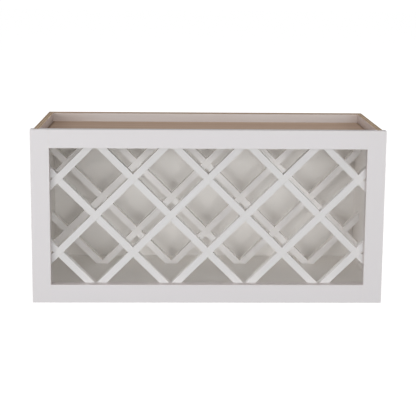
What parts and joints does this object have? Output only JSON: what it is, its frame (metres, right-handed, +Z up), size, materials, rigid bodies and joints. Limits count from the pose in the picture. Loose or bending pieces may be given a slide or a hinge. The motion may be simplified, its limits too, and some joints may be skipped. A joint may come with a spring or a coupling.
{
  "type": "wall wine rack",
  "caption": "Open face-frame wall cabinet with front and rear diamond lattices that hold wine bottles lying down.",
  "frame": {"origin": "centre of the underside, midway between the two sides and between the front of the face frame and the wall", "axes": "+X to the right as seen from the front, +Y to the back, towards the wall, +Z up"},
  "size_m": [0.762, 0.3048, 0.381],
  "materials": {
    "frame_lacquer": "satin white lacquer on solid wood",
    "slat_lacquer": "satin white lacquer on solid wood",
    "case_lacquer": "satin white lacquer on plywood, raw edges",
    "plywood": "raw plywood above, white lacquer below",
    "screw_zinc": "yellow zinc plating"
  },
  "bodies": {
    "root": {"stile_left": "frame_lacquer", "stile_right": "frame_lacquer", "top_rail": "frame_lacquer", "bottom_rail": "frame_lacquer", "side_left": "case_lacquer", "side_right": "case_lacquer", "top_panel": "plywood", "bottom_panel": "case_lacquer", "back_panel": "case_lacquer", "upper_hanging_rail": "case_lacquer", "lower_hanging_rail": "case_lacquer", "back_screws": "screw_zinc", "front_slat_up_1": "slat_lacquer", "front_slat_up_2": "slat_lacquer", "front_slat_up_3": "slat_lacquer", "front_slat_up_4": "slat_lacquer", "front_slat_up_5": "slat_lacquer", "front_slat_up_6": "slat_lacquer", "front_slat_down_1": "slat_lacquer", "front_slat_down_2": "slat_lacquer", "front_slat_down_3": "slat_lacquer", "front_slat_down_4": "slat_lacquer", "front_slat_down_5": "slat_lacquer", "front_slat_down_6": "slat_lacquer", "rear_slat_up_1": "slat_lacquer", "rear_slat_up_2": "slat_lacquer", "rear_slat_up_3": "slat_lacquer", "rear_slat_up_4": "slat_lacquer", "rear_slat_up_5": "slat_lacquer", "rear_slat_up_6": "slat_lacquer", "rear_slat_down_1": "slat_lacquer", "rear_slat_down_2": "slat_lacquer", "rear_slat_down_3": "slat_lacquer", "rear_slat_down_4": "slat_lacquer", "rear_slat_down_5": "slat_lacquer", "rear_slat_down_6": "slat_lacquer"}
  },
  "joints": []
}
